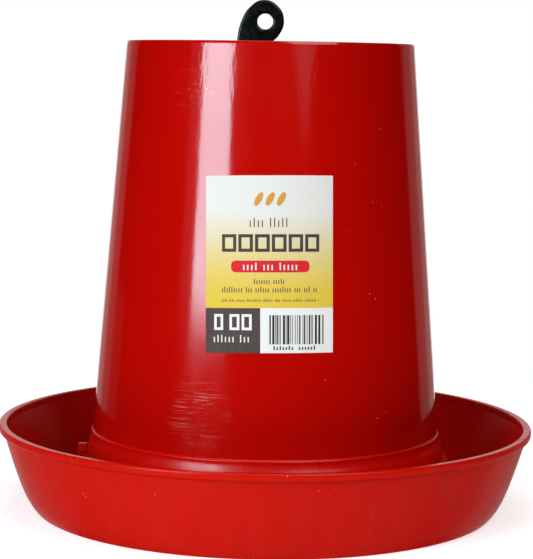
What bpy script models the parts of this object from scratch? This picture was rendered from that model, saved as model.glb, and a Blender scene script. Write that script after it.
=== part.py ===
"""Hanging gravity feeder for poultry: a feed tray, a collar that locks into it, the hopper that
stands in the collar, and a hook on a bar across the hopper's mouth.

Metres, +Z up. The origin is the centre of the tray's underside. -Y is the front, where the label is.
"""

import math

import bmesh
import bpy

TURN_STEPS = 72
MERGE = 0.00001
GAP = 0.0003  # clearance between pieces that touch or slide

# Feed tray
TRAY_RIM_RADIUS = 0.1425
TRAY_RIM_TOP = 0.0461
TRAY_RIM_INNER_RADIUS = 0.1383
TRAY_RIM_INNER_EDGE = 0.0008
TRAY_RIM_OUTER_EDGE = 0.0011
TRAY_LIP_BOTTOM = 0.0418
TRAY_LIP_ROLL = 0.0019  # radius of the lip's lower outer edge
TRAY_WALL_TOP_RADIUS = 0.1398  # outside of the wall, just under the lip
TRAY_WALL_TOP = 0.041
TRAY_WALL_LEAN = 0.29  # how far the wall runs in for each metre down from TRAY_WALL_TOP
TRAY_WALL_BOW = 1.25  # and how much more for the square of that depth
TRAY_WALL_TUCK = 0.0030  # and how much more by the floor
TRAY_TUCK_POWER = 8  # a higher power keeps the tuck closer to the floor
TRAY_WALL = 0.0020
TRAY_WALL_LEVELS = (0.0335, 0.0260, 0.0185, 0.0120, 0.0070)  # heights at which the wall is modelled
TRAY_FLOOR = 0.0020
TRAY_INNER_CORNER = 0.0018
TRAY_OUTER_CORNER = 0.0012
CONE_RADIUS = 0.060
CONE_TOP = 0.030
CONE_NOSE_RADIUS = 0.006
CONE_NOSE_DROP = 0.0008
CONE_FOOT = 0.004  # width of the slope between the cone and the floor

# Catches that stand on the tray floor and hold the collar's flange
CATCH_ANGLES = (60, 180, 300)
CATCH_WIDTH = 0.0035
CATCH_INNER_RADIUS = 0.084
CATCH_OUTER_RADIUS = 0.1009
CATCH_TOP = 0.032
CATCH_LEDGE = 0.0242
CATCH_CHAMFER = 0.0012
CATCH_NOSE_GAP = 0.0004  # between the nose and the collar's skirt
CATCH_NOSE_LEAD = 0.0010  # slope under the nose that draws the flange in

# Collar
COLLAR_TOP = 0.0426
COLLAR_TOP_RADIUS = 0.0936
COLLAR_SKIRT_RADIUS = 0.0955
COLLAR_BORE_RADIUS = 0.0917
COLLAR_BORE_DEPTH = 0.0068
COLLAR_WALL = 0.002
COLLAR_EDGE = 0.0005
COLLAR_FLARE = (  # outside below the edge: (out from COLLAR_TOP_RADIUS, down from COLLAR_TOP)
    (-0.00035, 0.0014),
    (-0.00030, 0.0028),
    (0.00010, 0.0046),
    (0.00095, 0.0066),
    (0.00160, 0.0092),
)
COLLAR_FLARE_END = 0.0115  # how far down the outside reaches the skirt's radius
COLLAR_INNER_STEP = 0.0098  # how far down the inside reaches the skirt's wall
FLANGE_RADIUS = 0.0990
FLANGE_THICKNESS = 0.0023
UNLOCK_ANGLE = 25  # the flange's notches stand this far round from the catches
NOTCH_WIDTH = 0.0075
NOTCH_REACH = 0.006
STOP_WIDTH = 0.002
STOP_TOP = 0.0304
STOP_INSET = 0.0006  # how far the stops stand back from the flange's edge

# Hopper
HOPPER_TOP = 0.2483
HOPPER_TOP_RADIUS = 0.0758
HOPPER_SHOULDER_RADIUS = 0.0926
HOPPER_SLOPE = (HOPPER_SHOULDER_RADIUS - HOPPER_TOP_RADIUS) / (HOPPER_TOP - COLLAR_TOP)
HOPPER_WALL = 0.0018
HOPPER_BAND = 0.0013  # height of the slightly drawn-in band at the mouth
HOPPER_BAND_INSET = 0.0003
HOPPER_EDGE = 0.0004
HOPPER_FOOT_BOTTOM = 0.0315
HOPPER_FOOT_CHAMFER = 0.0006

# Bar across the hopper, along Y, and the sockets that hold its ends
BAR_HEIGHT = 0.230
BAR_RADIUS = 0.003
BAR_FLANGE_RADIUS = 0.0055
BAR_FLANGE_WIDTH = 0.002
SOCKET_RADIUS = 0.0065
SOCKET_LENGTH = 0.008
SOCKET_DEPTH = 0.006

# Hanging hook
HOOK_THICKNESS = 0.0068
HOOK_EDGE = 0.0011
EYE_CENTRE = (-0.0031, 0.2593)
EYE_RADIUS = 0.00415
HOOK_OUTLINE = (  # (x, z), clockwise from the top of the eye
    (-0.0042, 0.2706),
    (0.0038, 0.2671),
    (0.0068, 0.2598),
    (0.0045, 0.2526),
    (-0.0014, 0.2466),
    (-0.0053, 0.2405),
    (-0.0063, 0.2335),
    (-0.0035, 0.2278),
    (0.0008, 0.2266),
    (0.0040, 0.2291),
    (0.0049, 0.2338),
    (0.0077, 0.2368),
    (0.0110, 0.2345),
    (0.0110, 0.2275),
    (0.0067, 0.2208),
    (-0.0010, 0.2183),
    (-0.0098, 0.2210),
    (-0.0157, 0.2290),
    (-0.0178, 0.2390),
    (-0.0177, 0.2505),
    (-0.0155, 0.2599),
    (-0.0114, 0.2666),
)

# Label on the hopper's front
LABEL_WIDTH = 0.0642  # along the curve
LABEL_HEIGHT = 0.0875
LABEL_OFFSET = 0.0010  # its middle stands this far to +X of the front
LABEL_MIDDLE_HEIGHT = 0.1394
LABEL_TURN = 0.87  # it is stuck on this many degrees askew
LABEL_THICKNESS = 0.0003

RED = (0.46, 0.004, 0.004, 1)
BLACK = (0.006, 0.006, 0.007, 1)
PAPER = (0.86, 0.74, 0.35, 1)


def clear_scene():
    for obj in list(bpy.data.objects):
        bpy.data.objects.remove(obj)


def new_collection(name):
    collection = bpy.data.collections.new(name)
    bpy.context.scene.collection.children.link(collection)
    return collection


def new_material(name, colour, roughness, metallic=0.0):
    material = bpy.data.materials.new(name)
    material.use_nodes = True
    shader = material.node_tree.nodes["Principled BSDF"]
    shader.inputs["Base Color"].default_value = colour
    shader.inputs["Roughness"].default_value = roughness
    shader.inputs["Metallic"].default_value = metallic
    return material


def place(obj, collection, material=None):
    """Links a new object, as a piece if it has a material and as a cutter or helper if not."""
    collection.objects.link(obj)
    if material:
        obj.data.materials.append(material)
    else:
        obj.hide_render = True
        obj.display_type = "WIRE"
    return obj


def arc(centre, radius, start, end, steps):
    """Points along an arc in the (radius, height) plane, angles in degrees."""
    points = []
    for step in range(steps + 1):
        angle = math.radians(start + (end - start) * step / steps)
        points.append((centre[0] + radius * math.cos(angle), centre[1] + radius * math.sin(angle)))
    return points


def turned(name, profile, closed):
    """A turned object: the profile lies in the XZ plane at +X and runs down its outer side."""
    mesh = bpy.data.meshes.new(name)
    form = bmesh.new()
    points = [form.verts.new((radius, 0, height)) for radius, height in profile]
    for first, second in zip(points, points[1:]):
        form.edges.new((first, second))
    if closed:
        form.edges.new((points[-1], points[0]))
    form.to_mesh(mesh)
    form.free()
    obj = bpy.data.objects.new(name, mesh)
    screw = obj.modifiers.new("Turn", "SCREW")
    screw.axis = "Z"
    screw.steps = TURN_STEPS
    screw.render_steps = TURN_STEPS
    screw.use_merge_vertices = True
    screw.merge_threshold = MERGE
    screw.use_smooth_shade = True
    return obj


def flat_outline(name, splines, thickness, edge=0.0):
    """A flat curve in its own XY plane; edge is the radius of its rounded margins."""
    curve = bpy.data.curves.new(name, "CURVE")
    curve.dimensions = "2D"
    curve.fill_mode = "BOTH"
    curve.extrude = thickness / 2 - edge
    curve.bevel_depth = edge
    curve.bevel_resolution = 1
    curve.offset = -edge
    curve.resolution_u = 3
    for points, smooth in splines:
        spline = curve.splines.new("BEZIER")
        spline.bezier_points.add(len(points) - 1)
        spline.use_cyclic_u = True
        for knot, (x, y) in zip(spline.bezier_points, points):
            knot.co = (x, y, 0)
            knot.handle_left_type = "AUTO" if smooth else "VECTOR"
            knot.handle_right_type = "AUTO" if smooth else "VECTOR"
    return bpy.data.objects.new(name, curve)


def meshed(obj, collection):
    """Replaces a curve object, already in the scene, by a welded mesh of it."""
    bpy.context.view_layer.update()
    evaluated = obj.evaluated_get(bpy.context.evaluated_depsgraph_get())
    mesh = bpy.data.meshes.new_from_object(evaluated)
    form = bmesh.new()
    form.from_mesh(mesh)
    bmesh.ops.remove_doubles(form, verts=form.verts, dist=MERGE)
    bmesh.ops.recalc_face_normals(form, faces=form.faces)
    form.to_mesh(mesh)
    form.free()
    name = obj.name
    matrix = obj.matrix_world.copy()
    curve = obj.data
    bpy.data.objects.remove(obj)
    bpy.data.curves.remove(curve)
    piece = bpy.data.objects.new(name, mesh)
    piece.matrix_world = matrix
    collection.objects.link(piece)
    return piece


def block(name, size, middle, turn):
    """A box helper: its size, and its middle's radius and height before it is turned about Z."""
    mesh = bpy.data.meshes.new(name)
    form = bmesh.new()
    bmesh.ops.create_cube(form, size=1)
    bmesh.ops.scale(form, vec=size, verts=form.verts)
    bmesh.ops.translate(form, vec=(middle[0], 0, middle[1]), verts=form.verts)
    form.to_mesh(mesh)
    form.free()
    obj = bpy.data.objects.new(name, mesh)
    obj.rotation_euler.z = math.radians(turn)
    return obj


def rod(name, radius, start, end, height, steps=24):
    """A round helper along Y between two y values."""
    mesh = bpy.data.meshes.new(name)
    form = bmesh.new()
    size = {"radius1": radius, "radius2": radius, "depth": end - start}
    bmesh.ops.create_cone(form, cap_ends=True, segments=steps, **size)
    form.to_mesh(mesh)
    form.free()
    obj = bpy.data.objects.new(name, mesh)
    obj.rotation_euler.x = math.pi / 2
    obj.location = (0, (start + end) / 2, height)
    return obj


def combine(obj, other, operation):
    modifier = obj.modifiers.new(other.name, "BOOLEAN")
    modifier.operation = operation
    modifier.solver = "EXACT"
    modifier.object = other


def tray_wall_radius(height):
    """Outside radius of the tray's bowed wall, which draws in towards the floor."""
    depth = TRAY_WALL_TOP - height
    tuck = TRAY_WALL_TUCK * (depth / TRAY_WALL_TOP) ** TRAY_TUCK_POWER
    return TRAY_WALL_TOP_RADIUS - TRAY_WALL_LEAN * depth - TRAY_WALL_BOW * depth * depth - tuck


def eased_corner(first, corner, last):
    """Three points in place of a sharp corner between two points."""
    middle = []
    for before, here, after in zip(first, corner, last):
        middle.append((before + 2 * here + after) / 4)
    return [first, tuple(middle), last]


def tray_profile():
    slope = (CONE_RADIUS - CONE_FOOT, TRAY_FLOOR + CONE_FOOT / 2)
    nose = (CONE_NOSE_RADIUS, CONE_TOP - CONE_NOSE_DROP)
    inside = [(0.0, CONE_TOP), nose, slope, (CONE_RADIUS, TRAY_FLOOR)]
    corner = (tray_wall_radius(TRAY_FLOOR) - TRAY_WALL, TRAY_FLOOR)
    above = TRAY_FLOOR + TRAY_INNER_CORNER
    wall_foot = (tray_wall_radius(above) - TRAY_WALL, above)
    inside += eased_corner((corner[0] - TRAY_INNER_CORNER, TRAY_FLOOR), corner, wall_foot)
    inside += [(tray_wall_radius(height) - TRAY_WALL, height) for height in reversed(TRAY_WALL_LEVELS)]
    edge = TRAY_RIM_INNER_EDGE
    rim = [(TRAY_RIM_INNER_RADIUS, TRAY_RIM_TOP - edge), (TRAY_RIM_INNER_RADIUS + edge, TRAY_RIM_TOP)]
    edge = TRAY_RIM_OUTER_EDGE
    rim += arc((TRAY_RIM_RADIUS - edge, TRAY_RIM_TOP - edge), edge, 90, 0, 2)
    edge = TRAY_LIP_ROLL
    rim += arc((TRAY_RIM_RADIUS - edge, TRAY_LIP_BOTTOM + edge), edge, 0, -90, 3)
    levels = (TRAY_WALL_TOP,) + TRAY_WALL_LEVELS
    outside = [(tray_wall_radius(height), height) for height in levels]
    corner = (tray_wall_radius(0.0), 0.0)
    wall_foot = (tray_wall_radius(TRAY_OUTER_CORNER), TRAY_OUTER_CORNER)
    outside += eased_corner(wall_foot, corner, (corner[0] - TRAY_OUTER_CORNER, 0.0))
    hollow = (CONE_RADIUS - CONE_FOOT, CONE_FOOT / 4)
    under = [(CONE_RADIUS, 0.0), hollow, (0.0, CONE_TOP - TRAY_FLOOR)]
    return inside + rim + outside + under


def catch_outline():
    """(radius, height) outline of one catch: a web under the flange, a post and a nose over it."""
    nose_inner = COLLAR_SKIRT_RADIUS + CATCH_NOSE_GAP
    post_inner = FLANGE_RADIUS + GAP
    nose_bottom = CATCH_LEDGE + FLANGE_THICKNESS + 2 * GAP
    return [
        (CATCH_INNER_RADIUS, TRAY_FLOOR / 2),
        (CATCH_OUTER_RADIUS, TRAY_FLOOR / 2),
        (CATCH_OUTER_RADIUS, CATCH_TOP - CATCH_CHAMFER),
        (CATCH_OUTER_RADIUS - CATCH_CHAMFER, CATCH_TOP),
        (nose_inner, CATCH_TOP),
        (nose_inner, nose_bottom + CATCH_NOSE_LEAD),
        (nose_inner + CATCH_NOSE_LEAD, nose_bottom),
        (post_inner, nose_bottom),
        (post_inner, CATCH_LEDGE),
        (CATCH_INNER_RADIUS, CATCH_LEDGE),
    ]


def make_tray(pieces, helpers, red):
    tray = place(turned("feed_tray", tray_profile(), closed=False), pieces, red)
    for angle in CATCH_ANGLES:
        outline = place(flat_outline(f"catch_{angle}", [(catch_outline(), False)], CATCH_WIDTH), helpers)
        outline.rotation_euler = (math.pi / 2, 0, math.radians(angle))
        catch = meshed(outline, helpers)
        catch.hide_render = True
        catch.display_type = "WIRE"
        combine(tray, catch, "UNION")
    return tray


def collar_profile():
    bottom = CATCH_LEDGE + GAP
    flange_top = bottom + FLANGE_THICKNESS
    inner_skirt = COLLAR_SKIRT_RADIUS - COLLAR_WALL
    edge = COLLAR_EDGE
    outside = arc((COLLAR_TOP_RADIUS - edge, COLLAR_TOP - edge), edge, 90, 0, 2)
    outside += [(COLLAR_TOP_RADIUS + out, COLLAR_TOP - down) for out, down in COLLAR_FLARE]
    outside += [
        (COLLAR_SKIRT_RADIUS, COLLAR_TOP - COLLAR_FLARE_END),
        (COLLAR_SKIRT_RADIUS, flange_top),
        (FLANGE_RADIUS - edge, flange_top),
        (FLANGE_RADIUS, flange_top - edge),
        (FLANGE_RADIUS, bottom + edge),
        (FLANGE_RADIUS - edge, bottom),
    ]
    inside = [
        (inner_skirt, bottom),
        (inner_skirt, COLLAR_TOP - COLLAR_INNER_STEP),
        (COLLAR_BORE_RADIUS, COLLAR_TOP - COLLAR_BORE_DEPTH),
        (COLLAR_BORE_RADIUS, COLLAR_TOP),
    ]
    return outside + inside


def make_collar(pieces, helpers, red):
    """The notches let the flange drop past the catches; a stop beside each catch ends the turn."""
    collar = place(turned("locking_collar", collar_profile(), closed=True), pieces, red)
    flange_middle = CATCH_LEDGE + GAP + FLANGE_THICKNESS / 2
    notch_inner = COLLAR_SKIRT_RADIUS + GAP
    notch_size = (NOTCH_REACH, NOTCH_WIDTH, FLANGE_THICKNESS * 2)
    notch_middle = (notch_inner + NOTCH_REACH / 2, flange_middle)
    stop_inner = COLLAR_SKIRT_RADIUS - COLLAR_WALL / 2
    stop_outer = FLANGE_RADIUS - STOP_INSET
    stop_size = (stop_outer - stop_inner, STOP_WIDTH, STOP_TOP - flange_middle)
    stop_middle = ((stop_outer + stop_inner) / 2, (STOP_TOP + flange_middle) / 2)
    stop_turn = math.degrees((CATCH_WIDTH / 2 + GAP + STOP_WIDTH / 2) / COLLAR_SKIRT_RADIUS)
    for angle in CATCH_ANGLES:
        stop = block(f"stop_{angle}", stop_size, stop_middle, angle - stop_turn)
        combine(collar, place(stop, helpers), "UNION")
        notch = block(f"notch_{angle}", notch_size, notch_middle, angle + UNLOCK_ANGLE)
        combine(collar, place(notch, helpers), "DIFFERENCE")
    return collar


def hopper_radius(height):
    """Outside radius of the hopper's cone."""
    return HOPPER_TOP_RADIUS + HOPPER_SLOPE * (HOPPER_TOP - height)


def hopper_profile():
    shoulder = COLLAR_TOP + GAP
    foot = COLLAR_BORE_RADIUS - GAP
    edge = HOPPER_EDGE
    band = HOPPER_TOP - HOPPER_BAND
    outside = arc((HOPPER_TOP_RADIUS - HOPPER_BAND_INSET - edge, HOPPER_TOP - edge), edge, 90, 5, 2)
    outside += [
        (hopper_radius(band), band),
        (HOPPER_SHOULDER_RADIUS, shoulder),
        (foot, shoulder),
        (foot, HOPPER_FOOT_BOTTOM + HOPPER_FOOT_CHAMFER),
        (foot - HOPPER_FOOT_CHAMFER, HOPPER_FOOT_BOTTOM),
    ]
    inside = [
        (foot - HOPPER_WALL, HOPPER_FOOT_BOTTOM),
        (foot - HOPPER_WALL, shoulder),
        (hopper_radius(band) - HOPPER_WALL, band),
        (hopper_radius(band) - HOPPER_WALL, HOPPER_TOP - edge),
        (hopper_radius(band) - HOPPER_WALL + edge, HOPPER_TOP),
    ]
    return outside + inside


def socket_face():
    """How far from the axis the two sockets' inner faces stand."""
    return hopper_radius(BAR_HEIGHT) - HOPPER_WALL - SOCKET_LENGTH


def make_hopper(pieces, helpers, red):
    hopper = place(turned("hopper", hopper_profile(), closed=True), pieces, red)
    face = socket_face()
    for side, sign in (("front", -1), ("back", 1)):
        ends = sorted((sign * face, sign * (face + SOCKET_LENGTH + HOPPER_WALL / 2)))
        boss = place(rod(f"socket_{side}", SOCKET_RADIUS, ends[0], ends[1], BAR_HEIGHT), helpers)
        combine(hopper, boss, "UNION")
        ends = sorted((sign * (face - SOCKET_DEPTH), sign * (face + SOCKET_DEPTH)))
        hole = rod(f"socket_hole_{side}", BAR_RADIUS + GAP, ends[0], ends[1], BAR_HEIGHT)
        combine(hopper, place(hole, helpers), "DIFFERENCE")
    return hopper


def make_bar(pieces, helpers, black):
    """The bar lies in the two sockets; its two flanges keep the hook in the middle."""
    end = socket_face() + SOCKET_DEPTH - GAP
    bar = rod("hanger_bar", BAR_RADIUS, -end, end, BAR_HEIGHT)
    place(bar, pieces, black)
    inner = HOOK_THICKNESS / 2 + GAP
    for side, sign in (("front", -1), ("back", 1)):
        ends = sorted((sign * inner, sign * (inner + BAR_FLANGE_WIDTH)))
        flange = rod(f"bar_flange_{side}", BAR_FLANGE_RADIUS, ends[0], ends[1], BAR_HEIGHT)
        combine(bar, place(flange, helpers), "UNION")
    return bar


def make_hook(pieces, black):
    """The hook's origin is on the bar's axis, which it swings about."""
    eye = arc(EYE_CENTRE, EYE_RADIUS, 0, 315, 7)
    splines = []
    for outline in (HOOK_OUTLINE, eye):
        splines.append(([(x, z - BAR_HEIGHT) for x, z in outline], True))
    outline = flat_outline("hanging_hook", splines, HOOK_THICKNESS, HOOK_EDGE)
    pieces.objects.link(outline)
    outline.location = (0, 0, BAR_HEIGHT)
    outline.rotation_euler.x = math.pi / 2
    hook = meshed(outline, pieces)
    hook.data.materials.append(black)
    return hook


def on_cone(across, up):
    """The place on the hopper's outside of a point of a flat sheet wrapped round it at the front."""
    half_angle = math.atan(HOPPER_SLOPE)
    apex = HOPPER_TOP + HOPPER_TOP_RADIUS / HOPPER_SLOPE
    middle = (apex - LABEL_MIDDLE_HEIGHT) / math.cos(half_angle)
    reach = math.hypot(across, middle - up)
    turn = math.atan2(across, middle - up) / math.sin(half_angle)
    radius = reach * math.sin(half_angle) + GAP
    return radius * math.sin(turn), -radius * math.cos(turn), apex - reach * math.cos(half_angle)


def make_label(pieces, paper):
    mesh = bpy.data.meshes.new("label")
    form = bmesh.new()
    bmesh.ops.create_grid(form, x_segments=12, y_segments=2, size=0.5)
    turn = math.radians(LABEL_TURN)
    for vert in form.verts:
        right = vert.co.x * LABEL_WIDTH
        up = vert.co.y * LABEL_HEIGHT
        across = LABEL_OFFSET + right * math.cos(turn) - up * math.sin(turn)
        vert.co = on_cone(across, right * math.sin(turn) + up * math.cos(turn))
    bmesh.ops.recalc_face_normals(form, faces=form.faces)
    if form.faces[:][0].normal.y > 0:
        bmesh.ops.reverse_faces(form, faces=form.faces)
    form.to_mesh(mesh)
    form.free()
    label = place(bpy.data.objects.new("label", mesh), pieces, paper)
    skin = label.modifiers.new("Thickness", "SOLIDIFY")
    skin.thickness = LABEL_THICKNESS
    skin.offset = 1
    return label


def main():
    clear_scene()
    pieces = new_collection("gravity_feeder")
    helpers = new_collection("helpers")
    red = new_material("red_plastic", RED, 0.3)
    black = new_material("black_plastic", BLACK, 0.4)
    paper = new_material("label_paper", PAPER, 0.5)
    make_tray(pieces, helpers, red)
    make_collar(pieces, helpers, red)
    make_hopper(pieces, helpers, red)
    make_bar(pieces, helpers, black)
    make_hook(pieces, black)
    make_label(pieces, paper)
    for obj in pieces.objects:
        if obj.type == "MESH":
            obj.data.shade_smooth()
            obj.data.set_sharp_from_angle(angle=math.radians(35))


main()
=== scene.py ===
"""Looks for the hanging poultry feeder: fine meshes, materials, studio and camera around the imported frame."""

import math
import random

import bmesh
import bpy
from mathutils import Matrix, Vector


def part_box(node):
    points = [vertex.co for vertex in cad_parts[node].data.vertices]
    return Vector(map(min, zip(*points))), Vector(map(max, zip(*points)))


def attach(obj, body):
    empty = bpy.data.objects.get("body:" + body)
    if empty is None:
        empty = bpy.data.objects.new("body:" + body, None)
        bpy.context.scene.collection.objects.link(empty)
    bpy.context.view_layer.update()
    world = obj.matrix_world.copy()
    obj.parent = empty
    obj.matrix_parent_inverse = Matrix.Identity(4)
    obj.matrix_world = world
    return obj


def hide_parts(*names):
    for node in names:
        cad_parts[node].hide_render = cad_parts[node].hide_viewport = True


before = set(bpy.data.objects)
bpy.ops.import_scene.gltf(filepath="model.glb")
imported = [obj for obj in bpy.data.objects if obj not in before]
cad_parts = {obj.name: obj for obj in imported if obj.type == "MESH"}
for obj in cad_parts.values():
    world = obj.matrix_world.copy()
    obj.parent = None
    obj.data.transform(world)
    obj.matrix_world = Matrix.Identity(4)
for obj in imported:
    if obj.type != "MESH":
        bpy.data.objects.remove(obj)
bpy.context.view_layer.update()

MM = 0.001
TURN_STEPS = 256
MERGE = 1e-6
GAP = 0.3 * MM  # clearance between pieces that touch or slide

# Extents of the CAD pieces, which the fine meshes keep to
_, TRAY_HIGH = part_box("feed_tray")
COLLAR_LOW, COLLAR_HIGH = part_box("locking_collar")
HOPPER_LOW, HOPPER_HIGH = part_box("hopper")
BAR_LOW, BAR_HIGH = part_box("hanger_bar")
HOOK_LOW, HOOK_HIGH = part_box("hanging_hook")
LABEL_LOW, LABEL_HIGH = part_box("label")

# Tray
RIM_RADIUS = TRAY_HIGH.x
RIM_TOP = TRAY_HIGH.z
LIP_WIDTH = 4.2 * MM
LIP_HEIGHT = 4.3 * MM
LIP_INNER_EDGE = 0.8 * MM
LIP_OUTER_EDGE = 1.1 * MM
LIP_ROLL = 1.9 * MM  # radius of the lip's lower outer edge
LIP_FILLET = 0.7 * MM
TRAY_WALL = 2.0 * MM
TRAY_FLOOR = 2.0 * MM
WALL_TOP = RIM_TOP - 5.1 * MM
WALL_TOP_RADIUS = RIM_RADIUS - 2.7 * MM
WALL_LEAN = 0.29  # how far the wall runs in for each metre down from WALL_TOP
WALL_BOW = 1.25  # and how much more for the square of that depth
WALL_TUCK = 3.0 * MM  # and how much more by the floor
TUCK_POWER = 8  # a higher power keeps the tuck closer to the floor
LEVEL_SPREAD = 1.3  # above 1 sets the wall's levels closer together by the floor
GROOVE_DEPTH = 0.8 * MM  # of the ring-shaped groove under the tray
CONE_RADIUS = 60.0 * MM
CONE_TOP = 30.0 * MM
CONE_NOSE = 9.0 * MM

# Catches on the tray floor
CATCH_ANGLES = (60, 180, 300)
CATCH_WIDTH = 3.5 * MM
CATCH_INNER = 84.0 * MM
CATCH_OUTER = 100.9 * MM
CATCH_TOP = 32.0 * MM
CATCH_LEDGE = COLLAR_LOW.z - GAP

# Collar
COLLAR_TOP = COLLAR_HIGH.z
FLANGE_RADIUS = COLLAR_HIGH.x
COLLAR_TOP_RADIUS = FLANGE_RADIUS - 5.4 * MM
SKIRT_RADIUS = FLANGE_RADIUS - 3.5 * MM
BORE_RADIUS = COLLAR_TOP_RADIUS - 1.9 * MM
COLLAR_WALL = 2.0 * MM
FLANGE_THICKNESS = 2.3 * MM
UNLOCK_ANGLE = 25  # the flange's notches stand this far round from the catches
NOTCH_WIDTH = 7.5 * MM
STOP_WIDTH = 2.0 * MM
STOP_TOP = 30.4 * MM

# Hopper
HOPPER_TOP = HOPPER_HIGH.z
SHOULDER_RADIUS = HOPPER_HIGH.x
HOPPER_TOP_RADIUS = SHOULDER_RADIUS - 16.8 * MM
HOPPER_SLOPE = (SHOULDER_RADIUS - HOPPER_TOP_RADIUS) / (HOPPER_TOP - COLLAR_TOP)
HOPPER_WALL = 1.8 * MM
FOOT_RADIUS = BORE_RADIUS - GAP
HOPPER_BAND = 1.3 * MM  # height of the slightly drawn-in band at the mouth
HOPPER_EDGE = 0.4 * MM
SOCKET_RADIUS = 6.5 * MM
SOCKET_LENGTH = 8.0 * MM

# Bar and hook
BAR_HEIGHT = (BAR_LOW.z + BAR_HIGH.z) / 2
BAR_FLANGE_RADIUS = BAR_HIGH.x
BAR_RADIUS = 3.0 * MM
BAR_FLANGE_WIDTH = 2.0 * MM
HOOK_THICKNESS = HOOK_HIGH.y - HOOK_LOW.y
HOOK_EDGE = 1.1 * MM

# Label: its sheet is wrapped on the hopper, and its printing is laid out in millimetres
LABEL_WIDTH = 64.2
LABEL_HEIGHT = 87.5
LABEL_OFFSET = 1.0
LABEL_TURN = 0.87  # degrees
LABEL_MIDDLE = (LABEL_LOW.z + LABEL_HIGH.z) / 2
LABEL_FOOT = 65.3  # how far down the two panels start
LABEL_SPLIT = 27.5  # how far across they meet
GLUE = 0.05 * MM
PAPER = 0.10 * MM
INK = 0.03 * MM

# Studio and camera
FLOOR_RADIUS = 0.45
KEY_AZIMUTH = -39.9
KEY_DISTANCE = 1.2
KEY_WIDTH = 0.485
BACK_DISTANCE = 1.4
COOL = (0.80, 1.0, 1.13)
WARM = (1.45, 1.0, 0.93)
CAMERA_PLACE = (-0.0004, -1.0434, 0.2364)
CAMERA_LENS = 126.14
CAMERA_PITCH = 0.109  # radians below level
CAMERA_ROLL = 0.0151


# ---------------------------------------------------------------- meshes


def arc(centre, radius, start, end, steps):
    """Points along an arc in the (radius, height) plane, angles in degrees."""
    points = []
    for step in range(steps + 1):
        angle = math.radians(start + (end - start) * step / steps)
        points.append((centre[0] + radius * math.cos(angle), centre[1] + radius * math.sin(angle)))
    return points


def rounded(points, radius, steps=4, closed=True):
    """The polygon's points with each corner cut back and rounded, by at most the radius."""
    count = len(points)
    result = []
    for index, corner in enumerate(points):
        if not closed and index in (0, count - 1):
            result.append(corner)
            continue
        here = Vector(corner)
        before = Vector(points[index - 1]) - here
        after = Vector(points[(index + 1) % count]) - here
        reach = min(radius, before.length * 0.45, after.length * 0.45)
        start = here + before.normalized() * reach
        end = here + after.normalized() * reach
        for step in range(steps + 1):
            t = step / steps
            point = start.lerp(here, t).lerp(here.lerp(end, t), t)
            result.append((point.x, point.y))
    return result


def mesh_object(name, form, sharp=40):
    """Turns the bmesh into an object that is smooth but for edges over the sharp angle in degrees."""
    mesh = bpy.data.meshes.new(name)
    bmesh.ops.recalc_face_normals(form, faces=form.faces)
    form.to_mesh(mesh)
    form.free()
    mesh.shade_smooth()
    mesh.set_sharp_from_angle(angle=math.radians(sharp))
    obj = bpy.data.objects.new(name, mesh)
    bpy.context.scene.collection.objects.link(obj)
    return obj


def turned(name, profile, closed, steps=TURN_STEPS):
    """A turned mesh about Z from (radius, height) points; an open profile ends on the axis."""
    form = bmesh.new()
    points = [form.verts.new((radius, 0, height)) for radius, height in profile]
    edges = [form.edges.new(pair) for pair in zip(points, points[1:])]
    if closed:
        edges.append(form.edges.new((points[-1], points[0])))
    whole = {"cent": (0, 0, 0), "axis": (0, 0, 1), "angle": 2 * math.pi, "steps": steps}
    bmesh.ops.spin(form, geom=points + edges, use_merge=True, use_duplicate=False, **whole)
    bmesh.ops.remove_doubles(form, verts=form.verts, dist=MERGE)
    return mesh_object(name, form)


def turned_part(name, profile, start, end, steps):
    """A closed profile turned about Z between two angles in degrees, with its two ends closed."""
    form = bmesh.new()
    rings = []
    for step in range(steps + 1):
        angle = math.radians(start + (end - start) * step / steps)
        turn = (math.cos(angle), math.sin(angle))
        rings.append([form.verts.new((r * turn[0], r * turn[1], height)) for r, height in profile])
    for first, second in zip(rings, rings[1:]):
        for index in range(len(profile)):
            form.faces.new((first[index - 1], first[index], second[index], second[index - 1]))
    form.faces.new(rings[0])
    form.faces.new(rings[-1])
    return mesh_object(name, form)


def plate(name, outlines, thickness, edge, smooth, resolution=8):
    """A flat plate from closed outlines in its XY plane, with rounded margins, made a mesh."""
    curve = bpy.data.curves.new(name, "CURVE")
    curve.dimensions = "2D"
    curve.fill_mode = "BOTH"
    curve.extrude = thickness / 2 - edge
    curve.bevel_depth = edge
    curve.bevel_resolution = 3
    curve.offset = -edge
    curve.resolution_u = resolution
    for points in outlines:
        spline = curve.splines.new("BEZIER" if smooth else "POLY")
        knots = spline.bezier_points if smooth else spline.points
        knots.add(len(points) - 1)
        spline.use_cyclic_u = True
        for knot, (x, y) in zip(knots, points):
            knot.co = (x, y, 0) if smooth else (x, y, 0, 1)
            if smooth:
                knot.handle_left_type = "AUTO"
                knot.handle_right_type = "AUTO"
    source = bpy.data.objects.new(name + "_source", curve)
    bpy.context.scene.collection.objects.link(source)
    bpy.context.view_layer.update()
    mesh = bpy.data.meshes.new_from_object(source.evaluated_get(bpy.context.evaluated_depsgraph_get()))
    bpy.data.objects.remove(source)
    bpy.data.curves.remove(curve)
    form = bmesh.new()
    form.from_mesh(mesh)
    bpy.data.meshes.remove(mesh)
    bmesh.ops.remove_doubles(form, verts=form.verts, dist=MERGE)
    return mesh_object(name, form)


def bake_transform(obj):
    """Moves the object's place into its mesh."""
    bpy.context.view_layer.update()
    obj.data.transform(obj.matrix_world)
    obj.matrix_world.identity()


# ---------------------------------------------------------------- materials


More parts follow.
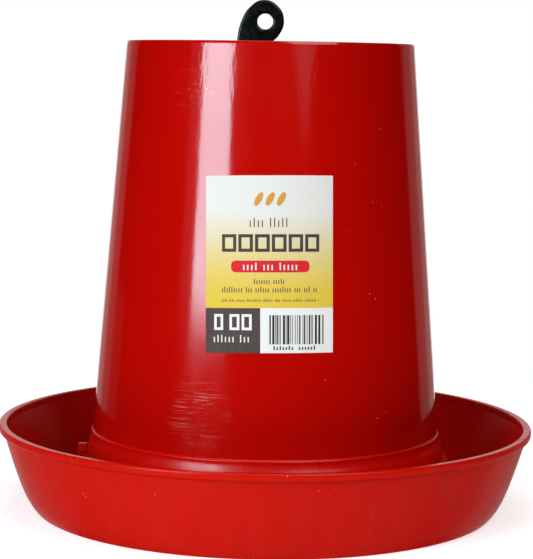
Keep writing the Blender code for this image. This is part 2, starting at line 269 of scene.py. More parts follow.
class Nodes:
    """Short calls for building a node material."""

    def __init__(self, name):
        self.material = bpy.data.materials.new(name)
        self.material.use_nodes = True
        self.tree = self.material.node_tree
        self.shader = self.tree.nodes["Principled BSDF"]

    def link(self, value, socket):
        if isinstance(value, bpy.types.NodeSocket):
            self.tree.links.new(value, socket)
        elif value is not None:
            socket.default_value = value

    def new(self, kind, **settings):
        node = self.tree.nodes.new(kind)
        for key, value in settings.items():
            setattr(node, key, value)
        return node

    def place(self, scale=(1, 1, 1)):
        """Object coordinates, scaled."""
        coordinates = self.new("ShaderNodeTexCoord")
        mapping = self.new("ShaderNodeMapping")
        self.link(coordinates.outputs["Object"], mapping.inputs["Vector"])
        mapping.inputs["Scale"].default_value = scale
        return mapping.outputs["Vector"]

    def noise(self, scale, detail=2.0, roughness=0.5, vector=None):
        node = self.new("ShaderNodeTexNoise")
        self.link(vector if vector is not None else self.place(), node.inputs["Vector"])
        node.inputs["Scale"].default_value = scale
        node.inputs["Detail"].default_value = detail
        node.inputs["Roughness"].default_value = roughness
        return node.outputs["Fac"]

    def ramp(self, value, low, high, out_low=0.0, out_high=1.0):
        """Eases from one output to the other while the value runs from low to high."""
        node = self.new("ShaderNodeMapRange", interpolation_type="SMOOTHSTEP")
        self.link(value, node.inputs["Value"])
        node.inputs["From Min"].default_value = low
        node.inputs["From Max"].default_value = high
        node.inputs["To Min"].default_value = out_low
        node.inputs["To Max"].default_value = out_high
        return node.outputs["Result"]

    def math(self, operation, first, second):
        node = self.new("ShaderNodeMath", operation=operation)
        self.link(first, node.inputs[0])
        self.link(second, node.inputs[1])
        return node.outputs[0]

    def mix(self, factor, first, second):
        node = self.new("ShaderNodeMix", data_type="RGBA")
        self.link(factor, node.inputs[0])
        self.link(first, node.inputs[6])
        self.link(second, node.inputs[7])
        return node.outputs[2]

    def near(self, centre, inner, outer):
        """1 within the inner radius of a place, falling to 0 at the outer radius."""
        here = self.new("ShaderNodeTexCoord").outputs["Object"]
        apart = self.new("ShaderNodeVectorMath", operation="SUBTRACT")
        self.link(here, apart.inputs[0])
        apart.inputs[1].default_value = centre
        length = self.new("ShaderNodeVectorMath", operation="LENGTH")
        self.link(apart.outputs[0], length.inputs[0])
        return self.ramp(length.outputs["Value"], outer, inner)

    def dots(self, scale, size):
        """Small round specks, one in some of the cells of a grid."""
        node = self.new("ShaderNodeTexVoronoi", feature="F1")
        self.link(self.place(), node.inputs["Vector"])
        node.inputs["Scale"].default_value = scale
        return self.ramp(node.outputs["Distance"], size, size * 0.4)

    def bump(self, layers):
        """Chains (height, strength, distance) layers into one normal."""
        normal = None
        for height, strength, distance in layers:
            node = self.new("ShaderNodeBump")
            self.link(height, node.inputs["Height"])
            self.link(normal, node.inputs["Normal"])
            node.inputs["Strength"].default_value = strength
            node.inputs["Distance"].default_value = distance
            normal = node.outputs["Normal"]
        self.link(normal, self.shader.inputs["Normal"])


def scratches(nodes, centre, reach, tilt, level):
    """Fine broken hairlines within reach of a place: noise drawn out across the object, cut at a level."""
    mapping = nodes.new("ShaderNodeMapping")
    nodes.link(nodes.new("ShaderNodeTexCoord").outputs["Object"], mapping.inputs["Vector"])
    mapping.inputs["Rotation"].default_value = (0, math.radians(tilt), 0)
    mapping.inputs["Scale"].default_value = (40, 20, 2300)
    lines = nodes.noise(1.0, 1.0, 0.4, mapping.outputs["Vector"])
    cut = nodes.ramp(lines, level, level + 0.06)
    kept = nodes.ramp(nodes.noise(75, 2.0), 0.42, 0.60)
    broken = nodes.math("MULTIPLY", cut, kept)
    return nodes.math("MULTIPLY", broken, nodes.near(centre, reach * 0.3, reach))


def red_plastic(name, colour, deep, gloss, grain, worn=()):
    """Moulded polypropylene. worn lists the dulled and scratched patches as (centre, radius, haze, lines)."""
    nodes = Nodes(name)
    cloud = nodes.ramp(nodes.noise(14, 3.0, 0.6), 0.3, 0.7)
    base = nodes.mix(cloud, colour, deep)
    smear = nodes.noise(1.0, 3.0, 0.55, nodes.place(scale=(90, 90, 14)))
    specks = nodes.math("MULTIPLY", nodes.dots(170, 0.09), nodes.ramp(nodes.noise(40), 0.58, 0.64))
    wear = nodes.math("MULTIPLY", specks, 0.30)
    rough = nodes.ramp(smear, 0.25, 0.8, gloss * 0.85, gloss * 1.25)
    for centre, radius, haze, strength in worn:
        drawn = nodes.noise(1.0, 5.0, 0.7, nodes.place(scale=(160, 160, 620)))
        cloudy = nodes.math("MULTIPLY", nodes.near(centre, 0, radius), nodes.ramp(drawn, 0.50, 0.75))
        crossed = nodes.math(
            "MAXIMUM",
            scratches(nodes, centre, radius, 5, 0.60),
            scratches(nodes, centre, radius, -9, 0.64),
        )
        wear = nodes.math("MAXIMUM", wear, nodes.math("MULTIPLY", cloudy, haze))
        wear = nodes.math("MAXIMUM", wear, nodes.math("MULTIPLY", crossed, strength))
        rough = nodes.math("ADD", rough, nodes.math("MULTIPLY", cloudy, haze))
    whitened = (0.78, 0.36, 0.32, 1)
    nodes.link(nodes.mix(wear, base, whitened), nodes.shader.inputs["Base Color"])
    nodes.link(rough, nodes.shader.inputs["Roughness"])
    nodes.shader.inputs["IOR"].default_value = 1.5
    split = nodes.new("ShaderNodeSeparateXYZ")
    nodes.link(nodes.new("ShaderNodeTexCoord").outputs["Object"], split.inputs[0])
    near_rim = nodes.ramp(split.outputs["Z"], 0.205, 0.24, 0.25, 1.0)
    ripple = nodes.math("MULTIPLY", nodes.noise(1.0, 3.0, 0.6, nodes.place(scale=(330, 330, 90))), near_rim)
    nodes.bump((
        (nodes.noise(9, 2.0), 0.25, 0.0012),
        (ripple, 0.30, 0.0004),
        (nodes.noise(grain, 3.0, 0.6), 0.02 * gloss / 0.12, 0.0002),
        (wear, 0.10, 0.0001),
    ))
    return nodes.material


def set_specular(material, level):
    material.node_tree.nodes["Principled BSDF"].inputs["Specular IOR Level"].default_value = level


def black_plastic(name, gloss):
    nodes = Nodes(name)
    patch = nodes.ramp(nodes.noise(120, 3.0), 0.35, 0.7)
    colour = nodes.mix(patch, (0.0018, 0.0018, 0.0019, 1), (0.0025, 0.0025, 0.0027, 1))
    nodes.link(colour, nodes.shader.inputs["Base Color"])
    rough = nodes.ramp(nodes.noise(500, 3.0), 0.3, 0.7, gloss - 0.05, gloss + 0.08)
    nodes.link(rough, nodes.shader.inputs["Roughness"])
    nodes.shader.inputs["Specular IOR Level"].default_value = 0.3
    nodes.bump(((nodes.noise(60, 2.0), 0.3, 0.0010), (nodes.noise(1400, 3.0), 0.05, 0.0002)))
    return nodes.material


def label_paper():
    """Coated paper, off-white at the top and turning yellow from the upper third down."""
    nodes = Nodes("label_paper")
    split = nodes.new("ShaderNodeSeparateXYZ")
    nodes.link(nodes.new("ShaderNodeTexCoord").outputs["Object"], split.inputs[0])
    top = LABEL_MIDDLE + LABEL_HEIGHT / 2 * MM
    down = nodes.math("SUBTRACT", top, split.outputs["Z"])
    fade = nodes.new("ShaderNodeMapRange")
    nodes.link(down, fade.inputs["Value"])
    fade.inputs["From Min"].default_value = 18 * MM
    fade.inputs["From Max"].default_value = 60 * MM
    fade.inputs["To Min"].default_value = 1.0
    fade.inputs["To Max"].default_value = 0.0
    whiteness = nodes.math("POWER", fade.outputs["Result"], 1.6)
    fibre = nodes.noise(900, 4.0, 0.65)
    plain = nodes.mix(whiteness, (0.585, 0.41, 0.040, 1), (0.60, 0.57, 0.53, 1))
    paper = nodes.mix(nodes.ramp(fibre, 0.35, 0.7, 0.0, 0.04), plain, (0.50, 0.46, 0.38, 1))
    nodes.link(paper, nodes.shader.inputs["Base Color"])
    nodes.link(nodes.ramp(fibre, 0.3, 0.7, 0.55, 0.7), nodes.shader.inputs["Roughness"])
    nodes.shader.inputs["Specular IOR Level"].default_value = 0.1
    nodes.bump(((fibre, 0.06, 0.0002), (nodes.noise(30, 2.0), 0.10, 0.0006)))
    return nodes.material


def ink(name, colour):
    """Printing ink, a little uneven."""
    nodes = Nodes(name)
    patch = nodes.ramp(nodes.noise(700, 3.0), 0.3, 0.75, 0.0, 0.03)
    nodes.link(nodes.mix(patch, colour, (0.60, 0.57, 0.52, 1)), nodes.shader.inputs["Base Color"])
    nodes.link(nodes.ramp(nodes.noise(400, 2.0), 0.3, 0.7, 0.5, 0.65), nodes.shader.inputs["Roughness"])
    nodes.shader.inputs["Specular IOR Level"].default_value = 0.1
    nodes.bump(((nodes.noise(900, 3.0), 0.05, 0.0002),))
    return nodes.material


def studio_paint():
    """White paint that glows, so that the feeder's shadow stays faint; the glow is dimmed by the feeder, a
    painted shade round it.
    """
    nodes = Nodes("studio_white")
    tone = nodes.ramp(nodes.noise(3, 2.0), 0.3, 0.7)
    colour = nodes.mix(tone, (0.60, 0.60, 0.60, 1), (0.58, 0.58, 0.58, 1))
    nodes.link(colour, nodes.shader.inputs["Base Color"])
    nodes.shader.inputs["Roughness"].default_value = 0.9
    nodes.shader.inputs["Specular IOR Level"].default_value = 0.0
    # Painted shade: the glow is weaker within reach of the feeder, darkening the floor round it.
    painted_shade_by_feeder = nodes.math("MULTIPLY", nodes.near((0, 0, 0), 0.13, 0.34), 0.38)
    nodes.link(nodes.math("SUBTRACT", 1.0, painted_shade_by_feeder), nodes.shader.inputs["Emission Strength"])
    nodes.shader.inputs["Emission Color"].default_value = (1, 1, 1, 1)
    return nodes.material


# ---------------------------------------------------------------- feeder


def finish_piece(obj, body, slot, material, *nodes):
    """Gives the piece its material and body, and hides the CAD nodes that it stands for; the slot is not used.
    """
    obj.data.materials.append(material)
    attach(obj, body)
    if nodes:
        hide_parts(*nodes)


def wall_radius(height):
    """Outside radius of the tray's bowed wall, which tucks in towards the floor."""
    depth = WALL_TOP - height
    tuck = WALL_TUCK * (depth / WALL_TOP) ** TUCK_POWER
    return WALL_TOP_RADIUS - WALL_LEAN * depth - WALL_BOW * depth**2 - tuck


def tray_profile():
    """(radius, height) from the cone's top, out and over the lip, and back along the underside."""
    inside = [(0.0, CONE_TOP)]
    inside += arc((0.0, CONE_TOP - CONE_NOSE), CONE_NOSE, 84, 64, 5)
    foot = [inside[-1], (CONE_RADIUS - 3.0 * MM, TRAY_FLOOR + 1.4 * MM), (CONE_RADIUS + 5.0 * MM, TRAY_FLOOR)]
    inside += rounded(foot, 6.0 * MM, 6, closed=False)[1:]
    inside += [(radius * MM, TRAY_FLOOR) for radius in (74, 84, 95, 106, 114)]
    wall_end = RIM_TOP - 3.0 * MM
    heights = [TRAY_FLOOR + (wall_end - TRAY_FLOOR) * (step / 24) ** LEVEL_SPREAD for step in range(25)]
    bend = [(wall_radius(height) - TRAY_WALL, height) for height in heights]
    inside += rounded([inside[-1]] + bend, 1.8 * MM, 4, closed=False)[1:]
    lip_bottom = RIM_TOP - LIP_HEIGHT
    inner_centre = (RIM_RADIUS - LIP_WIDTH + LIP_INNER_EDGE, RIM_TOP - LIP_INNER_EDGE)
    rim = arc(inner_centre, LIP_INNER_EDGE, 165, 90, 5)
    rim += arc((RIM_RADIUS - LIP_OUTER_EDGE, RIM_TOP - LIP_OUTER_EDGE), LIP_OUTER_EDGE, 90, 5, 7)
    rim += arc((RIM_RADIUS - LIP_ROLL, lip_bottom + LIP_ROLL), LIP_ROLL, 0, -80, 9)
    under_lip = wall_radius(lip_bottom - LIP_FILLET)
    rim += arc((under_lip + LIP_FILLET, lip_bottom - LIP_FILLET), LIP_FILLET, 90, 165, 4)
    heights = [(lip_bottom - 1.4 * MM) * (1 - step / 28) ** LEVEL_SPREAD for step in range(27)]
    outside = [(wall_radius(height), height) for height in heights]
    under = [(wall_radius(0.0), 0.0), (114.0 * MM, 0.0), (106.0 * MM, 0.0)]
    under += [(95.0 * MM, 0.0), (94.5 * MM, GROOVE_DEPTH), (91.5 * MM, GROOVE_DEPTH), (91.0 * MM, 0.0)]
    under += [(radius * MM, 0.0) for radius in (84, 76, 66)]
    outside += rounded([outside[-1]] + under, 1.2 * MM, 4, closed=False)[1:]
    hollow = [outside[-1], (CONE_RADIUS, 0.0), (CONE_RADIUS - 6.0 * MM, 1.4 * MM)]
    hollow += [(6.0 * MM, CONE_TOP - TRAY_FLOOR - 2.4 * MM), (0.0, CONE_TOP - TRAY_FLOOR - 1.0 * MM)]
    return inside + rim + outside + rounded(hollow, 4.0 * MM, 5, closed=False)[1:]


def make_tray(material):
    pan = turned("tray_pan", tray_profile(), closed=False)
    finish_piece(pan, "tray", "red_plastic", material, "feed_tray")
    nose_inner = SKIRT_RADIUS + 0.4 * MM
    post_inner = FLANGE_RADIUS + GAP
    nose_bottom = COLLAR_LOW.z + FLANGE_THICKNESS + GAP
    outline = [
        (CATCH_INNER, TRAY_FLOOR / 2), (CATCH_OUTER, TRAY_FLOOR / 2), (CATCH_OUTER, CATCH_TOP),
        (nose_inner, CATCH_TOP), (nose_inner, nose_bottom + 1.0 * MM), (nose_inner + 1.0 * MM, nose_bottom),
        (post_inner, nose_bottom), (post_inner, CATCH_LEDGE), (CATCH_INNER, CATCH_LEDGE),
    ]
    for angle in CATCH_ANGLES:
        corners = rounded(outline, 0.9 * MM)
        catch = plate(f"tray_catch_{angle}", [corners], CATCH_WIDTH, 0.45 * MM, smooth=False)
        catch.rotation_euler = (math.pi / 2, 0, math.radians(angle))
        bake_transform(catch)
        finish_piece(catch, "tray", "red_plastic", material)


def collar_profile():
    """(radius, height) down the flared outside, whose top is bevelled, and up the inside."""
    top = COLLAR_TOP
    bottom = COLLAR_LOW.z
    inner_skirt = SKIRT_RADIUS - COLLAR_WALL
    outside = arc((COLLAR_TOP_RADIUS - 1.2 * MM, top - 0.3 * MM), 0.3 * MM, 100, 45, 4)
    flare = [
        (COLLAR_TOP_RADIUS - 0.10 * MM, top - 1.0 * MM),
        (COLLAR_TOP_RADIUS - 0.32 * MM, top - 1.7 * MM),
        (COLLAR_TOP_RADIUS - 0.30 * MM, top - 2.8 * MM),
        (COLLAR_TOP_RADIUS + 0.10 * MM, top - 4.6 * MM),
        (COLLAR_TOP_RADIUS + 0.95 * MM, top - 6.6 * MM),
        (COLLAR_TOP_RADIUS + 1.05 * MM, top - 7.2 * MM),
        (COLLAR_TOP_RADIUS + 1.60 * MM, top - 9.2 * MM),
        (SKIRT_RADIUS, top - 11.5 * MM),
    ]
    outside += rounded([outside[-1]] + flare + [(SKIRT_RADIUS, bottom)], 0.8 * MM, 4, closed=False)[1:]
    inside = [
        (inner_skirt, bottom), (inner_skirt, top - 9.8 * MM), (BORE_RADIUS, top - 6.8 * MM),
        (BORE_RADIUS, top - 0.3 * MM), (BORE_RADIUS + 0.3 * MM, top),
    ]
    return outside + rounded([outside[-1]] + inside, 0.5 * MM, 3, closed=False)[1:]


def make_collar(material, dull):
    """The ring, its flange in three arcs with a notch between each two, and a stop beside each catch."""
    collar = turned("collar_ring", collar_profile(), closed=True)
    finish_piece(collar, "collar", "red_plastic", material, "locking_collar")
    bottom = COLLAR_LOW.z
    flange_inner = SKIRT_RADIUS - COLLAR_WALL / 2
    flange = [
        (flange_inner, bottom), (FLANGE_RADIUS, bottom),
        (FLANGE_RADIUS, bottom + FLANGE_THICKNESS), (flange_inner, bottom + FLANGE_THICKNESS),
    ]
    half_notch = math.degrees(NOTCH_WIDTH / 2 / FLANGE_RADIUS)
    stop_turn = math.degrees((CATCH_WIDTH / 2 + GAP + STOP_WIDTH / 2) / SKIRT_RADIUS)
    stop_bottom = bottom + FLANGE_THICKNESS / 2
    stop_outer = FLANGE_RADIUS - 0.6 * MM
    outline = [
        (flange_inner, stop_bottom), (stop_outer, stop_bottom),
        (stop_outer, STOP_TOP), (flange_inner, STOP_TOP),
    ]
    for angle in CATCH_ANGLES:
        start = angle + UNLOCK_ANGLE + half_notch
        end = angle + UNLOCK_ANGLE + 120 - half_notch
        part = turned_part(f"collar_flange_{angle}", rounded(flange, 0.6 * MM), start, end, 84)
        finish_piece(part, "collar", "red_plastic", dull)
        stop = plate(f"collar_stop_{angle}", [rounded(outline, 0.8 * MM)], STOP_WIDTH, 0.4 * MM, smooth=False)
        stop.rotation_euler = (math.pi / 2, 0, math.radians(angle - stop_turn))
        bake_transform(stop)
        finish_piece(stop, "collar", "red_plastic", dull)


def hopper_radius(height):
    """Outside radius of the hopper's cone."""
    return HOPPER_TOP_RADIUS + HOPPER_SLOPE * (HOPPER_TOP - height)


def hopper_profile():
    """(radius, height) down the cone's outside, round the foot and up the inside."""
    shoulder = COLLAR_TOP + 0.05 * MM
    edge = HOPPER_EDGE
    band = HOPPER_TOP - HOPPER_BAND
    levels = [band - (band - shoulder) * step / 28 for step in range(29)]
    outside = arc((HOPPER_TOP_RADIUS - 0.3 * MM - edge, HOPPER_TOP - edge), edge, 95, 15, 6)
    levels.insert(1, band - 0.25 * MM)
    outside += [(hopper_radius(level), level) for level in levels]
    inner_foot = FOOT_RADIUS - HOPPER_WALL
    foot = [
        (FOOT_RADIUS, shoulder), (FOOT_RADIUS, HOPPER_LOW.z),
        (inner_foot, HOPPER_LOW.z), (inner_foot, shoulder),
    ]
    outside += rounded([outside[-1]] + foot, 0.5 * MM, 4, closed=False)[1:]
    inside = [(hopper_radius(level) - HOPPER_WALL, level) for level in reversed(levels[:-1])]
    inside += arc((hopper_radius(band) - HOPPER_WALL + edge, HOPPER_TOP - edge), edge, 175, 95, 5)
    return outside + inside


def make_hopper(material):
    shell = turned("hopper_shell", hopper_profile(), closed=True)
    finish_piece(shell, "hopper_body", "red_plastic", material, "hopper")
    face = hopper_radius(BAR_HEIGHT) - HOPPER_WALL - SOCKET_LENGTH
    reach = SOCKET_LENGTH + HOPPER_WALL / 2
    hole = BAR_RADIUS + GAP
    profile = rounded(
        [(hole, 0.0), (SOCKET_RADIUS - 0.4 * MM, 0.0), (SOCKET_RADIUS, reach), (hole, reach)], 0.9 * MM, 4
    )
    for side, sign in (("front", -1), ("back", 1)):
        boss = turned(f"hopper_socket_{side}", profile[::-1], closed=True, steps=64)
        boss.rotation_euler.x = -sign * math.pi / 2
        boss.location = (0, sign * face, BAR_HEIGHT)
        bake_transform(boss)
        finish_piece(boss, "hopper_body", "red_plastic", material)


def make_bar(material):
    """The bar lies along Y, with its two flanges either side of the hook."""
    end = BAR_HIGH.y
    inner = HOOK_THICKNESS / 2 + GAP
    outer = inner + BAR_FLANGE_WIDTH
    half = [
        (0.0, end), (BAR_RADIUS - 0.6 * MM, end), (BAR_RADIUS, end - 0.6 * MM), (BAR_RADIUS, outer),
        (BAR_FLANGE_RADIUS, outer), (BAR_FLANGE_RADIUS, inner), (BAR_RADIUS, inner),
    ]
    whole = half + [(radius, -along) for radius, along in reversed(half)]
    bar = turned("crossbar", rounded(whole, 0.5 * MM, 3, closed=False), closed=False, steps=64)
    bar.rotation_euler.x = -math.pi / 2
    bar.location.z = BAR_HEIGHT
    bake_transform(bar)
    finish_piece(bar, "hopper_body", "black_plastic", material, "hanger_bar")


# The hook's outline from the bar's axis, in millimetres to the right and up, clockwise from the eye's top
HOOK_OUTLINE = (
    (-4.2, 40.6), (3.8, 37.1), (6.8, 29.8), (4.5, 22.6), (-1.4, 16.6), (-5.3, 10.5), (-6.3, 3.5),
    (-3.5, -2.2), (0.8, -3.4), (4.0, -0.9), (4.9, 3.8), (7.7, 6.8), (11.0, 4.5), (11.0, -2.5),
    (6.7, -9.2), (-1.0, -11.7), (-9.8, -9.0), (-15.7, -1.0), (-17.8, 9.0), (-17.7, 20.5),
    (-15.5, 29.9), (-11.4, 36.6),
)
EYE_CENTRE = (-3.1, 29.3)
EYE_RADIUS = 4.15


def make_hook(material):
    eye = arc(EYE_CENTRE, EYE_RADIUS, 0, 315, 7)
    outlines = [[(x * MM, z * MM) for x, z in outline] for outline in (HOOK_OUTLINE, eye)]
    hook = plate("hook_plate", outlines, HOOK_THICKNESS, HOOK_EDGE, smooth=True, resolution=12)
    hook.rotation_euler.x = math.pi / 2
    hook.location.z = BAR_HEIGHT
    bake_transform(hook)
    finish_piece(hook, "hook", "black_plastic", material, "hanging_hook")


# ---------------------------------------------------------------- label


def on_hopper(across, up, proud):
    """The place of a point of the flat label, in millimetres from its middle, wrapped on the hopper."""
    half_angle = math.atan(HOPPER_SLOPE)
    apex = HOPPER_TOP + HOPPER_TOP_RADIUS / HOPPER_SLOPE
    middle = (apex - LABEL_MIDDLE) / math.cos(half_angle)
    across *= MM
    below = middle - up * MM
    reach = math.hypot(across, below)
    turn = math.atan2(across, below) / math.sin(half_angle)
    radius = reach * math.sin(half_angle) + proud
    return Vector((radius * math.sin(turn), -radius * math.cos(turn), apex - reach * math.cos(half_angle)))


def sheet(form, outline, proud, thickness):
    """Adds a patch of sheet with the (right, down) outline in millimetres from the label's top left."""
    left = min(x for x, _ in outline)
    right = max(x for x, _ in outline)
    columns = max(1, round((right - left) / 2.0))
    flat = bmesh.new()
    flat.faces.new([flat.verts.new((x, -y, 0)) for x, y in outline])
    for column in range(1, columns):
        cut = left + (right - left) * column / columns
        geom = flat.verts[:] + flat.edges[:] + flat.faces[:]
        bmesh.ops.bisect_plane(flat, geom=geom, plane_co=(cut, 0, 0), plane_no=(1, 0, 0))
    made = bmesh.ops.extrude_face_region(flat, geom=flat.faces[:])
    top = {v for v in made["geom"] if isinstance(v, bmesh.types.BMVert)}
    turn = math.radians(LABEL_TURN)
    for vert in flat.verts:
        x = vert.co.x - LABEL_WIDTH / 2
        y = vert.co.y + LABEL_HEIGHT / 2
        across = LABEL_OFFSET + x * math.cos(turn) - y * math.sin(turn)
        up = x * math.sin(turn) + y * math.cos(turn)
        vert.co = on_hopper(across, up, proud + (thickness if vert in top else 0))
    bmesh.ops.recalc_face_normals(flat, faces=flat.faces)
    mesh = bpy.data.meshes.new("patch")
    flat.to_mesh(mesh)
    flat.free()
    form.from_mesh(mesh)
    bpy.data.meshes.remove(mesh)


def bar_shape(left, top, right, bottom, corner=0.0):
    box = [(left, top), (right, top), (right, bottom), (left, bottom)]
    return rounded(box, corner, 5) if corner else box


def oval(middle, width, height, tilt, steps=20):
    points = []
    for step in range(steps):
        angle = 2 * math.pi * step / steps
        x = width / 2 * math.cos(angle)
        y = height / 2 * math.sin(angle)
        points.append((
            middle[0] + x * math.cos(tilt) - y * math.sin(tilt),
            middle[1] + x * math.sin(tilt) + y * math.cos(tilt),
        ))
    return points


def stripes(left, right, top, bottom):
    """Upright bars of uneven width, in place of a bar code."""
    draw = random.Random(7)
    shapes = []
    at = left
    while at < right - 0.3:
        width = draw.choice((0.35, 0.35, 0.7, 1.05))
        shapes.append(bar_shape(at, top, min(at + width, right), bottom))
        at += width + draw.choice((0.35, 0.7, 0.7, 1.05))
    return shapes


def line_of_print(left, right, top, bottom, pitch, stroke, seed):
    """Short upright strokes in word-long runs, in place of a line of small text."""
    draw = random.Random(seed)
    shapes = []
    at = left
    left_in_word = draw.randint(3, 9)
    while at < right - stroke:
        if left_in_word:
            tall = draw.random() < 0.3
            head = top if tall else top + (bottom - top) * 0.27
            shapes.append(bar_shape(at, head, at + stroke, bottom))
            left_in_word -= 1
        else:
            left_in_word = draw.randint(3, 9)
        at += pitch
    return shapes


def empty_boxes(left, top, width, height, gap, count, stroke):
    """The four sides of each of a row of empty boxes as separate bars, in place of large letters."""
    sides = []
    bottom = top + height
    for index in range(count):
        start = left + index * (width + gap)
        end = start + width
        sides.append(bar_shape(start, top, start + stroke, bottom))
        sides.append(bar_shape(end - stroke, top, end, bottom))
        sides.append(bar_shape(start + stroke, top, end - stroke, top + stroke))
        sides.append(bar_shape(start + stroke, bottom - stroke, end - stroke, bottom))
    return sides


def label_layers():
    """(name, height above the sheet in layers, colour, shapes) of the label's printing."""
    dark = (0.058, 0.040, 0.036, 1)
    red = (0.54, 0.008, 0.017, 1)
    white = (0.65, 0.625, 0.60, 1)
    grain = [oval((32.4 + 5.6 * (i - 1), 11.6), 3.2, 7.4, 0.5) for i in range(3)]
    heading = empty_boxes(8.4, 28.9, 7.25, 8.7, 1.02, 6, 1.6)
    small = line_of_print(22.3, 41.8, 20.9, 25.4, 2.0, 0.55, seed=3)
    small += line_of_print(24.4, 40.2, 50.8, 53.4, 1.2, 0.5, seed=5)
    small += line_of_print(8.4, 56.6, 54.8, 57.6, 1.2, 0.5, seed=6)
    small += line_of_print(8.4, 57.0, 60.8, 62.2, 0.75, 0.33, seed=8)
    panel = empty_boxes(4.4, 68.3, 4.6, 7.9, 3.6, 1, 1.3)
    panel += empty_boxes(12.2, 68.3, 5.0, 7.9, 1.1, 2, 1.3)
    panel += line_of_print(4.2, 23.4, 78.6, 82.2, 1.9, 0.6, seed=9)
    digits = line_of_print(34.0, 45.0, 84.0, 86.0, 1.5, 0.7, seed=10)
    digits += line_of_print(46.6, 57.6, 84.0, 86.0, 1.5, 0.7, seed=11)
    return (
        ("panel_dark", 1, dark, [bar_shape(0, LABEL_FOOT, LABEL_SPLIT, LABEL_HEIGHT)]),
        ("panel_white", 1, white, [bar_shape(LABEL_SPLIT, LABEL_FOOT, LABEL_WIDTH, LABEL_HEIGHT)]),
        ("pill_red", 1, red, [bar_shape(13.0, 41.9, 52.0, 47.7, 2.6)]),
        ("grain_mark", 1, (0.50, 0.24, 0.03, 1), grain),
        ("heading", 1, (0.050, 0.036, 0.032, 1), heading),
        ("small_print", 1, (0.080, 0.062, 0.055, 1), small),
        ("pill_print", 2, white, line_of_print(19.0, 46.6, 43.0, 46.6, 2.0, 0.7, seed=4)),
        ("panel_print", 2, white, panel),
        ("stripes", 2, (0.010, 0.010, 0.010, 1), stripes(32.0, 59.2, 68.8, 83.2) + digits),
    )


def make_label():
    """The sheet of paper, and each colour of its printing as a thin layer on it."""
    form = bmesh.new()
    sheet(form, bar_shape(0, 0, LABEL_WIDTH, LABEL_HEIGHT, 0.6), GLUE, PAPER)
    backing = mesh_object("label_sheet", form, 30)
    finish_piece(backing, "hopper_body", "label_paper", label_paper(), "label")
    for name, level, colour, shapes in label_layers():
        form = bmesh.new()
        for shape in shapes:
            sheet(form, shape, GLUE + PAPER + INK * (level - 1), INK)
        print_piece = mesh_object("label_" + name, form, 30)
        finish_piece(print_piece, "hopper_body", "label_paper", ink("ink_" + name, colour))


# ---------------------------------------------------------------- studio


def soft_light(name, place, target, size, radiance, shape="RECTANGLE", colour=(1, 1, 1)):
    """A soft box of a (width, height) in metres and a given brightness, unseen by the camera."""
    light = bpy.data.lights.new(name, "AREA")
    light.color = colour
    light.shape = shape
    light.size = size[0]
    light.size_y = size[1]
    light.energy = radiance * math.pi * size[0] * size[1]
    obj = bpy.data.objects.new(name, light)
    bpy.context.scene.collection.objects.link(obj)
    obj.location = place
    obj.rotation_euler = (Vector(target) - Vector(place)).to_track_quat("-Z", "Y").to_euler()
    obj.visible_camera = False
    return obj


def around(azimuth, distance, height):
    """A place at an azimuth in degrees from the front, positive to the right."""
    angle = math.radians(azimuth)
    return (distance * math.sin(angle), -distance * math.cos(angle), height)


def level_light(name, azimuth, distance, bottom, top, width, radiance, **kind):
    """An upright soft box that faces the axis, between two heights."""
    height = (bottom + top) / 2
    place = around(azimuth, distance, height)
    soft_light(name, place, (0, 0, height), (width, top - bottom), radiance, **kind)


def make_floor():
    """A pale floor that gives soft light back but does not show in the gloss."""
    form = bmesh.new()
    bmesh.ops.create_circle(form, cap_ends=True, radius=FLOOR_RADIUS, segments=128)
    floor = mesh_object("studio_floor", form)
    floor.data.materials.append(studio_paint())
    floor.visible_glossy = False
    floor.visible_shadow = False


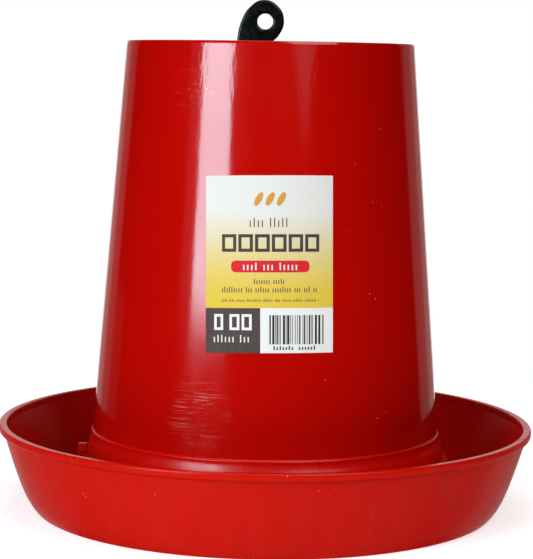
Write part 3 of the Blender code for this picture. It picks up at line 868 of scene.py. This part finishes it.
def make_studio():
    """Soft boxes in front, behind and above. The world is white to the camera and gives little light."""
    make_floor()
    for name, bottom, top, radiance in (
        ("key_high", 0.36, 0.74, 13.6), ("key_middle", 0.21, 0.36, 11.9), ("key_low", 0.138, 0.21, 13.5),
    ):
        level_light(name, KEY_AZIMUTH, KEY_DISTANCE, bottom, top, KEY_WIDTH, radiance, colour=COOL)
    level_light("key_side", -56, KEY_DISTANCE, 0.13, 0.74, 0.2, 0.19)
    for azimuth, radiance in ((-60, 0.5), (-25, 2.3), (8, 1.5)):
        front = soft_light(f"front_{azimuth}", around(azimuth, 1.07, 0.7), (0, 0, 0.12), (0.5, 0.8), radiance)
        front.visible_glossy = False
    soft_light("fill", around(36, 1.0, 1.05), (0, 0, 0.12), (0.8, 0.8), 3.8)
    level_light("streak", 26, BACK_DISTANCE, 0.385, 1.1, 0.55, 0.44, shape="ELLIPSE")
    soft_light("top", (0, 0.05, 1.7), (0, 0, 0), (1.0, 0.9), 2.8)
    for name, azimuth, bottom, top, width, radiance, colour in (
        ("back_middle", 180, -1.0, 1.0, 1.0, 0.82, (1, 1, 1)),
        ("back_left", 180 + 27, -1.0, 1.0, 0.5, 0.31, WARM),
        ("back_left_edge", 180 + 44, -1.0, 1.0, 0.36, 0.145, WARM),
        ("back_left_far", 180 + 58, -1.0, 0.06, 0.34, 0.05, WARM),
        ("back_left_low", 180 + 60, -1.2, -0.25, 0.7, 0.08, (1, 1, 1)),
        ("back_right", 180 - 27, -1.0, 1.0, 0.5, 0.26, WARM),
        ("back_right_edge", 180 - 46, -1.0, 1.0, 0.5, 0.17, WARM),
        ("back_right_low", 180 - 58, -1.2, -0.25, 0.7, 0.11, (1, 1, 1)),
    ):
        level_light(name, azimuth, BACK_DISTANCE, bottom, top, width, radiance, colour=colour)
    world = bpy.data.worlds.new("studio")
    bpy.context.scene.world = world
    world.use_nodes = True
    tree = world.node_tree
    seen = tree.nodes.new("ShaderNodeLightPath")
    level = tree.nodes.new("ShaderNodeMapRange")
    level.inputs["To Min"].default_value = 0.002
    level.inputs["To Max"].default_value = 1.0
    tree.links.new(seen.outputs["Is Camera Ray"], level.inputs["Value"])
    background = tree.nodes["Background"]
    background.inputs["Color"].default_value = (1, 1, 1, 1)
    tree.links.new(level.outputs["Result"], background.inputs["Strength"])
    bpy.context.scene.view_settings.view_transform = "Standard"


def make_camera():
    """The camera looks along +Y and a little down, and is slightly rolled."""
    camera = bpy.data.objects.new("camera", bpy.data.cameras.new("camera"))
    camera.data.lens = CAMERA_LENS
    camera.data.clip_start = 0.05
    pitch = Matrix.Rotation(math.pi / 2 - CAMERA_PITCH, 4, "X")
    roll = Matrix.Rotation(CAMERA_ROLL, 4, "Z")
    camera.matrix_world = Matrix.Translation(CAMERA_PLACE) @ pitch @ roll
    bpy.context.scene.collection.objects.link(camera)
    bpy.context.scene.camera = camera


def main():
    make_camera()
    red = (0.385, 0.0016, 0.0004, 1)
    deep = (0.37, 0.0014, 0.0003, 1)
    scuff = ((-0.037, -0.068, 0.225), 0.016, 0.14, 0.0)
    scrape = ((-0.034, -0.084, 0.0645), 0.020, 0.10, 0.24)
    gloss = red_plastic("hopper_red", red, deep, 0.11, 1500, worn=(scuff, scrape))
    # The collar's red is lighter than the hopper's: painted light, making up for light that falls short on the
    # collar by the hopper's foot.
    band = red_plastic("collar_red_painted_lighter", (0.48, 0.0020, 0.0004, 1), (0.46, 0.0018, 0.0004, 1), 0.26, 1500)
    set_specular(band, 0.36)
    satin = red_plastic("tray_red", (0.435, 0.0040, 0.0005, 1), (0.42, 0.0035, 0.0004, 1), 0.24, 1800)
    set_specular(satin, 0.15)
    dull = red_plastic("flange_red", deep, deep, 0.7, 1500)
    set_specular(dull, 0.02)
    make_tray(satin)
    make_collar(band, dull)
    make_hopper(gloss)
    make_bar(black_plastic("bar_black", 0.42))
    make_hook(black_plastic("hook_black", 0.27))
    make_label()
    make_studio()


main()
